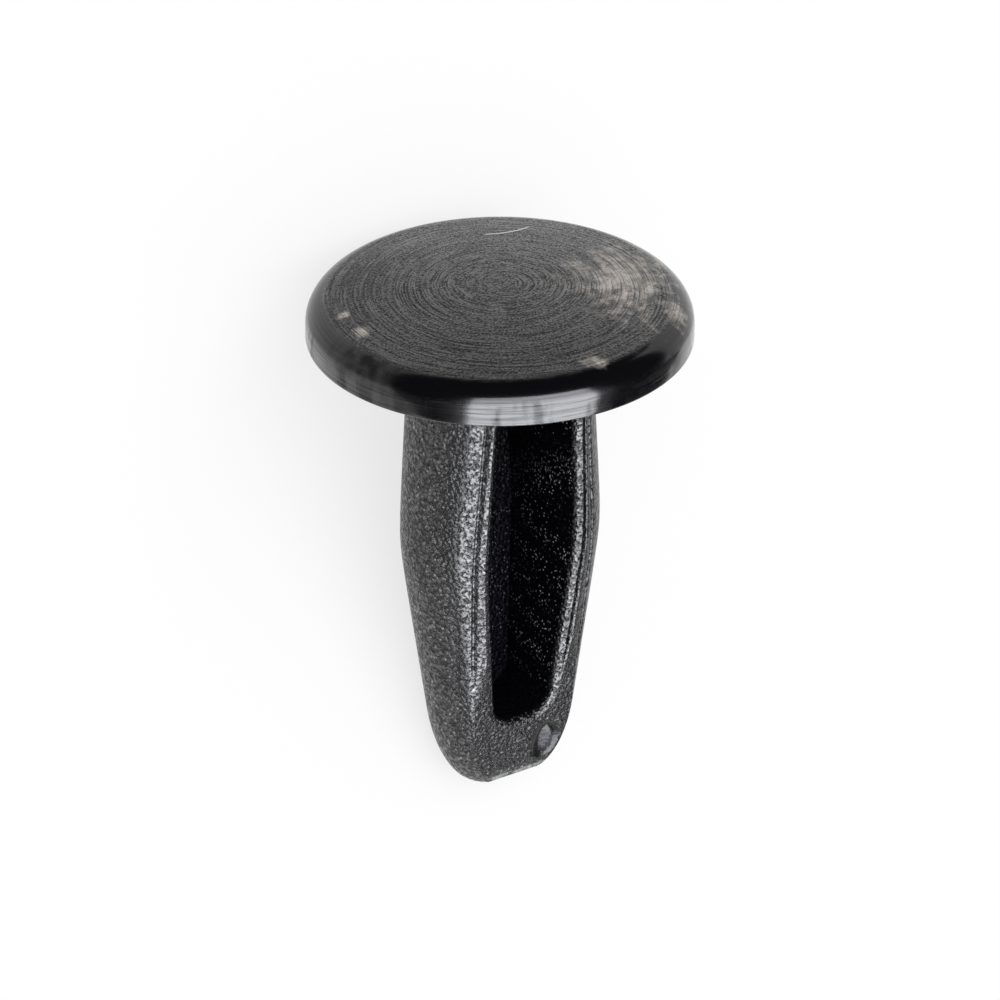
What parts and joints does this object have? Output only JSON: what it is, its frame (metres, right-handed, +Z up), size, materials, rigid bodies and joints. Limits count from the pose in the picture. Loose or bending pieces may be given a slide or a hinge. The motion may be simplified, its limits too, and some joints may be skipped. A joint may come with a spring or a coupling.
{
  "type": "bumper clip",
  "caption": "Moulded push-in plastic clip: a round crowned head on a tapered, slotted shank that springs together to snap into a round hole.",
  "frame": {"origin": "middle of the bounding box's underside, on the surface that the clip lies on", "axes": "+Z up, +Y from the tip towards the head, X across the two legs; the clip lies on its back on the head's rim and the tip, so its own axis rises 18.8 degrees from +Y towards the head, and the front of the slot faces up"},
  "size_m": [0.02, 0.0294, 0.0193],
  "materials": {
    "black_plastic": "black moulded plastic with a fine worn grain, turned rings on the head and a satin sheen on the rim and the slot's edges"
  },
  "bodies": {
    "root": {"clip": "black_plastic"}
  },
  "joints": []
}
